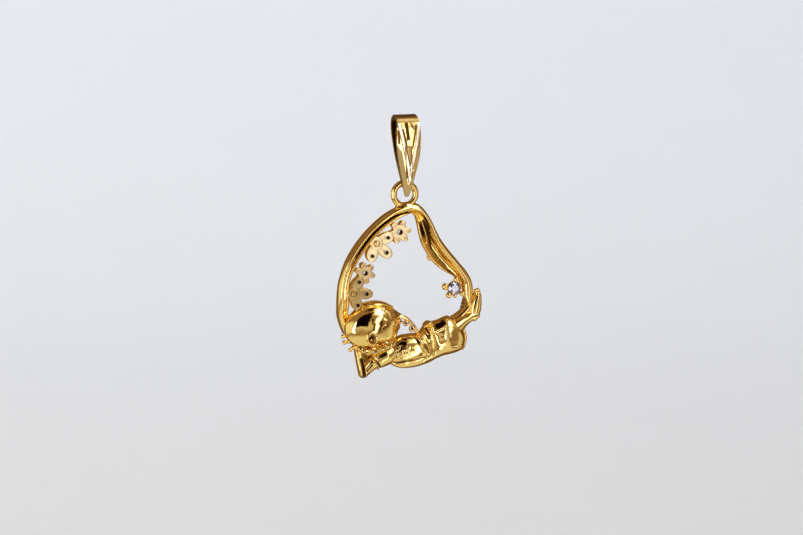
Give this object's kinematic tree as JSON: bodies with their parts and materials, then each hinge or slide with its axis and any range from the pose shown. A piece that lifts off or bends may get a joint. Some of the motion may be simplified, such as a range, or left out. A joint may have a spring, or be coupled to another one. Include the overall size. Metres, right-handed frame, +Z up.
{
  "type": "gold pendant",
  "caption": "Gold openwork pendant on a folded bail: looped frame, flat flower ornaments, small clear stone and a child lying on its back.",
  "frame": {"origin": "the chain's seat: the inner top of the bail's loop, midway across its width and depth", "axes": "+Z up, the pendant hanging straight down from the chain; -Y is the front; +X is to the right seen from the front, along the chain at the bail"},
  "size_m": [0.016, 0.0034, 0.0279],
  "materials": {
    "gold_polished": "polished yellow gold",
    "gold_satin": "satin yellow gold",
    "clear_stone": "brilliant cut, colourless"
  },
  "bodies": {
    "bail": {"bail": "gold_polished"},
    "pendant": {"pendant_body": "gold_polished", "stone": "clear_stone"}
  },
  "joints": [
    {"name": "pendant_swing", "type": "hinge", "parent": "bail", "child": "pendant", "pos_m": [0, 0, -0.0068], "axis": [1, 0, 0], "range_deg": [-30, 60]}
  ]
}
